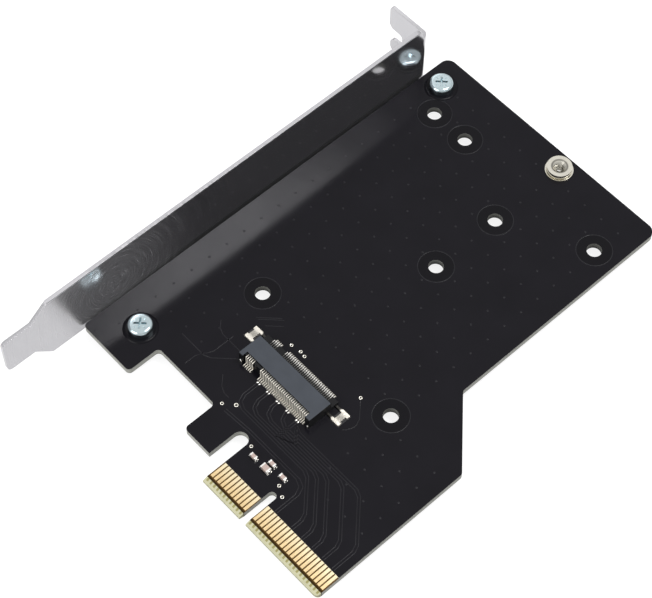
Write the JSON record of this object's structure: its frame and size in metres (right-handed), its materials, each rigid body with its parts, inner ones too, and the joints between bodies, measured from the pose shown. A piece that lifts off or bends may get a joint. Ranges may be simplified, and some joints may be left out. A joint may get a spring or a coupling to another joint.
{
  "type": "expansion slot module adapter card",
  "caption": "Black expansion card with a gold edge connector, a low module socket, a threaded standoff, open mounting holes and a folded steel slot bracket on two screws.",
  "frame": {"origin": "on the edge connector's tip, on the centreline of its key notch, in the board's component face", "axes": "+X along the edge connector away from the slot bracket, +Y from the connector's tip up the board, +Z out of the component side"},
  "size_m": [0.0912, 0.1265, 0.02],
  "materials": {
    "solder_mask": "satin black solder mask over glass laminate",
    "gold_plating": "satin gold plating",
    "bracket_steel": "bright nickel on steel, fine brush marks along the strip",
    "zinc_steel": "bluish bright zinc",
    "nickel_brass": "satin warm nickel",
    "black_housing": "satin black moulding",
    "contact_plating": "pale tin over gold plating",
    "tin": "satin tin",
    "ceramic": "matt ceramic with tinned ends"
  },
  "bodies": {
    "root": {"circuit_board": "solder_mask", "edge_contacts_component_side": "gold_plating", "edge_contacts_solder_side": "gold_plating", "slot_bracket": "bracket_steel", "bracket_screw_lower": "zinc_steel", "bracket_screw_upper": "zinc_steel", "screw_lands": "tin", "module_standoff": "nickel_brass", "socket_housing": "black_housing", "socket_contacts_upper": "contact_plating", "socket_contacts_lower": "contact_plating", "socket_hold_down_left": "tin", "socket_hold_down_right": "tin", "socket_lands": "contact_plating", "capacitor_lands": "tin", "capacitor_left": "ceramic", "capacitor_large": "ceramic", "capacitor_upper": "ceramic", "capacitor_right": "ceramic"}
  },
  "joints": []
}
